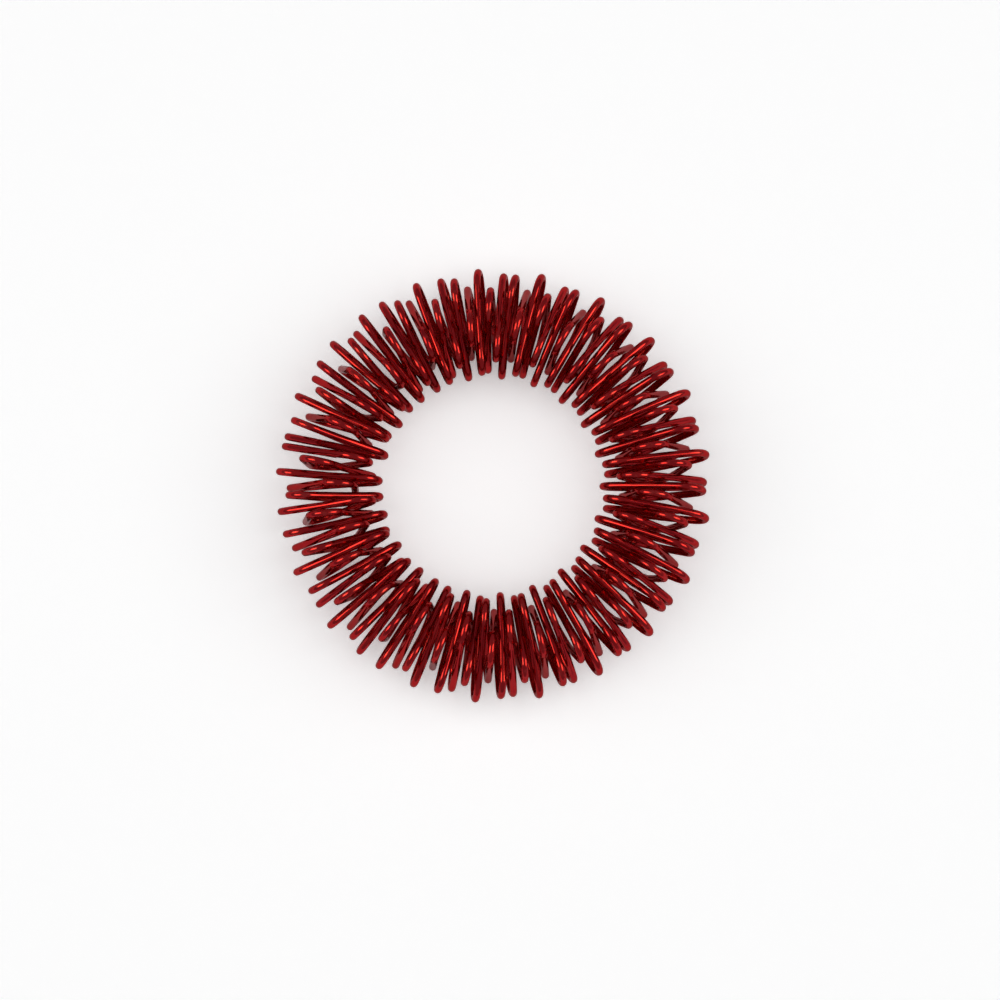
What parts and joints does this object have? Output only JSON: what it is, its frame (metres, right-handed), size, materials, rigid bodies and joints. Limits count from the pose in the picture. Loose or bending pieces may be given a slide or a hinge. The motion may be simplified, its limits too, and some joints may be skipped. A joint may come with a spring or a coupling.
{
  "type": "spiky finger massage ring",
  "caption": "Springy closed ring of coiled, pointed wire turns that stretches over a finger and rolls along it to massage it.",
  "frame": {"origin": "middle of the box round the ring, at its lowest side, where it lies on a surface", "axes": "+Z is the ring's own axis, +X points away from the place where the two ends of the coil meet"},
  "size_m": [0.0317, 0.0318, 0.0082],
  "materials": {
    "lacquered_wire": "gloss: clear red lacquer over bright spring wire"
  },
  "bodies": {
    "sector_01": {"coil_01": "lacquered_wire"},
    "sector_02": {"coil_02": "lacquered_wire"},
    "sector_03": {"coil_03": "lacquered_wire"},
    "sector_04": {"coil_04": "lacquered_wire"},
    "sector_05": {"coil_05": "lacquered_wire"},
    "sector_06": {"coil_06": "lacquered_wire"},
    "sector_07": {"coil_07": "lacquered_wire"},
    "sector_08": {"coil_08": "lacquered_wire"},
    "sector_09": {"coil_09": "lacquered_wire"},
    "sector_10": {"coil_10": "lacquered_wire"},
    "sector_11": {"coil_11": "lacquered_wire"},
    "sector_12": {"coil_12": "lacquered_wire"},
    "sector_13": {"coil_13": "lacquered_wire"},
    "sector_14": {"coil_14": "lacquered_wire"},
    "sector_15": {"coil_15": "lacquered_wire"},
    "sector_16": {"coil_16": "lacquered_wire"},
    "sector_17": {"coil_17": "lacquered_wire"},
    "sector_18": {"coil_18": "lacquered_wire"},
    "sector_19": {"coil_19": "lacquered_wire"},
    "sector_20": {"coil_20": "lacquered_wire"},
    "sector_21": {"coil_21": "lacquered_wire"}
  },
  "joints": [
    {"name": "stretch_11_12", "type": "slide", "parent": "sector_11", "child": "sector_12", "axis": [-0.0056, 1, 0], "range_m": [0, 0.000894], "stiffness_N_per_m": 250},
    {"name": "stretch_12_13", "type": "slide", "parent": "sector_12", "child": "sector_13", "axis": [-0.3001, 0.9539, 0], "range_m": [0, 0.000894], "stiffness_N_per_m": 250},
    {"name": "stretch_13_14", "type": "slide", "parent": "sector_13", "child": "sector_14", "axis": [-0.5679, 0.8231, 0], "range_m": [0, 0.000894], "stiffness_N_per_m": 250},
    {"name": "stretch_14_15", "type": "slide", "parent": "sector_14", "child": "sector_15", "axis": [-0.7853, 0.6191, 0], "range_m": [0, 0.000894], "stiffness_N_per_m": 250},
    {"name": "stretch_15_16", "type": "slide", "parent": "sector_15", "child": "sector_16", "axis": [-0.9329, 0.3601, 0], "range_m": [0, 0.000894], "stiffness_N_per_m": 250},
    {"name": "stretch_16_17", "type": "slide", "parent": "sector_16", "child": "sector_17", "axis": [-0.9976, 0.0691, 0], "range_m": [0, 0.000894], "stiffness_N_per_m": 250},
    {"name": "stretch_17_18", "type": "slide", "parent": "sector_17", "child": "sector_18", "axis": [-0.9737, -0.228, 0], "range_m": [0, 0.000894], "stiffness_N_per_m": 250},
    {"name": "stretch_18_19", "type": "slide", "parent": "sector_18", "child": "sector_19", "axis": [-0.8632, -0.5049, 0], "range_m": [0, 0.000894], "stiffness_N_per_m": 250},
    {"name": "stretch_19_20", "type": "slide", "parent": "sector_19", "child": "sector_20", "axis": [-0.676, -0.7369, 0], "range_m": [0, 0.000894], "stiffness_N_per_m": 250},
    {"name": "stretch_20_21", "type": "slide", "parent": "sector_20", "child": "sector_21", "axis": [-0.4288, -0.9034, 0], "range_m": [0, 0.000894], "stiffness_N_per_m": 250},
    {"name": "stretch_10_11", "type": "slide", "parent": "sector_11", "child": "sector_10", "axis": [-0.2894, -0.9572, 0], "range_m": [0, 0.000894], "stiffness_N_per_m": 250},
    {"name": "stretch_09_10", "type": "slide", "parent": "sector_10", "child": "sector_09", "axis": [-0.5587, -0.8294, 0], "range_m": [0, 0.000894], "stiffness_N_per_m": 250},
    {"name": "stretch_08_09", "type": "slide", "parent": "sector_09", "child": "sector_08", "axis": [-0.7783, -0.6279, 0], "range_m": [0, 0.000894], "stiffness_N_per_m": 250},
    {"name": "stretch_07_08", "type": "slide", "parent": "sector_08", "child": "sector_07", "axis": [-0.9288, -0.3706, 0], "range_m": [0, 0.000894], "stiffness_N_per_m": 250},
    {"name": "stretch_06_07", "type": "slide", "parent": "sector_07", "child": "sector_06", "axis": [-0.9968, -0.0803, 0], "range_m": [0, 0.000894], "stiffness_N_per_m": 250},
    {"name": "stretch_05_06", "type": "slide", "parent": "sector_06", "child": "sector_05", "axis": [-0.9762, 0.217, 0], "range_m": [0, 0.000894], "stiffness_N_per_m": 250},
    {"name": "stretch_04_05", "type": "slide", "parent": "sector_05", "child": "sector_04", "axis": [-0.8688, 0.4951, 0], "range_m": [0, 0.000894], "stiffness_N_per_m": 250},
    {"name": "stretch_03_04", "type": "slide", "parent": "sector_04", "child": "sector_03", "axis": [-0.6843, 0.7292, 0], "range_m": [0, 0.000894], "stiffness_N_per_m": 250},
    {"name": "stretch_02_03", "type": "slide", "parent": "sector_03", "child": "sector_02", "axis": [-0.4389, 0.8985, 0], "range_m": [0, 0.000894], "stiffness_N_per_m": 250},
    {"name": "stretch_01_02", "type": "slide", "parent": "sector_02", "child": "sector_01", "axis": [-0.1546, 0.988, 0], "range_m": [0, 0.000894], "stiffness_N_per_m": 250}
  ],
  "couplings": [
    {"joint": "stretch_12_13", "follows": "stretch_11_12", "ratio": 1},
    {"joint": "stretch_13_14", "follows": "stretch_11_12", "ratio": 1},
    {"joint": "stretch_14_15", "follows": "stretch_11_12", "ratio": 1},
    {"joint": "stretch_15_16", "follows": "stretch_11_12", "ratio": 1},
    {"joint": "stretch_16_17", "follows": "stretch_11_12", "ratio": 1},
    {"joint": "stretch_17_18", "follows": "stretch_11_12", "ratio": 1},
    {"joint": "stretch_18_19", "follows": "stretch_11_12", "ratio": 1},
    {"joint": "stretch_19_20", "follows": "stretch_11_12", "ratio": 1},
    {"joint": "stretch_20_21", "follows": "stretch_11_12", "ratio": 1},
    {"joint": "stretch_10_11", "follows": "stretch_11_12", "ratio": 1},
    {"joint": "stretch_09_10", "follows": "stretch_11_12", "ratio": 1},
    {"joint": "stretch_08_09", "follows": "stretch_11_12", "ratio": 1},
    {"joint": "stretch_07_08", "follows": "stretch_11_12", "ratio": 1},
    {"joint": "stretch_06_07", "follows": "stretch_11_12", "ratio": 1},
    {"joint": "stretch_05_06", "follows": "stretch_11_12", "ratio": 1},
    {"joint": "stretch_04_05", "follows": "stretch_11_12", "ratio": 1},
    {"joint": "stretch_03_04", "follows": "stretch_11_12", "ratio": 1},
    {"joint": "stretch_02_03", "follows": "stretch_11_12", "ratio": 1},
    {"joint": "stretch_01_02", "follows": "stretch_11_12", "ratio": 1}
  ]
}
